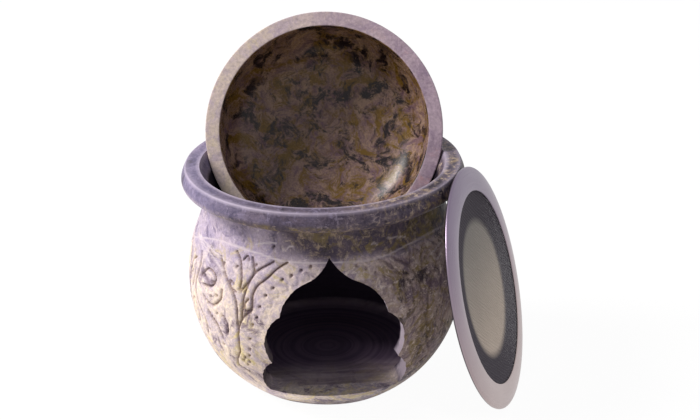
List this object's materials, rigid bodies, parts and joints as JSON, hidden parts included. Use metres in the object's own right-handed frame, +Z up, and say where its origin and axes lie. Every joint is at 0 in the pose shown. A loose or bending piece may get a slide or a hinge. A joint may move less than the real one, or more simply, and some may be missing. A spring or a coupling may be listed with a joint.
{
  "type": "essential oil burner",
  "caption": "Round carved soapstone burner pot with a lobed arch doorway for a tealight, a loose stone oil bowl tilted in its mouth and a flanged wire incense sieve leaning on its lip.",
  "frame": {"origin": "centre of the pot's flat base", "axes": "+Z up along the pot's turning axis, -Y out through the arched doorway, the sieve leans on the +X side"},
  "size_m": [0.1226, 0.1161, 0.127],
  "materials": {
    "pot_stone": "matte",
    "bowl_stone": "polished",
    "sieve_steel": "satin",
    "wire_cloth": "satin"
  },
  "bodies": {
    "pot": {"burner_pot": "pot_stone"},
    "bowl": {"oil_bowl": "bowl_stone"},
    "sieve": {"sieve_flange": "sieve_steel", "sieve_mesh": "wire_cloth"}
  },
  "joints": [
    {"name": "bowl_lift", "type": "slide", "parent": "pot", "child": "bowl", "axis": [0, 0, 1], "range_m": [0, 0.06]},
    {"name": "sieve_lift", "type": "slide", "parent": "pot", "child": "sieve", "axis": [0, 0, 1], "range_m": [0, 0.09]}
  ]
}
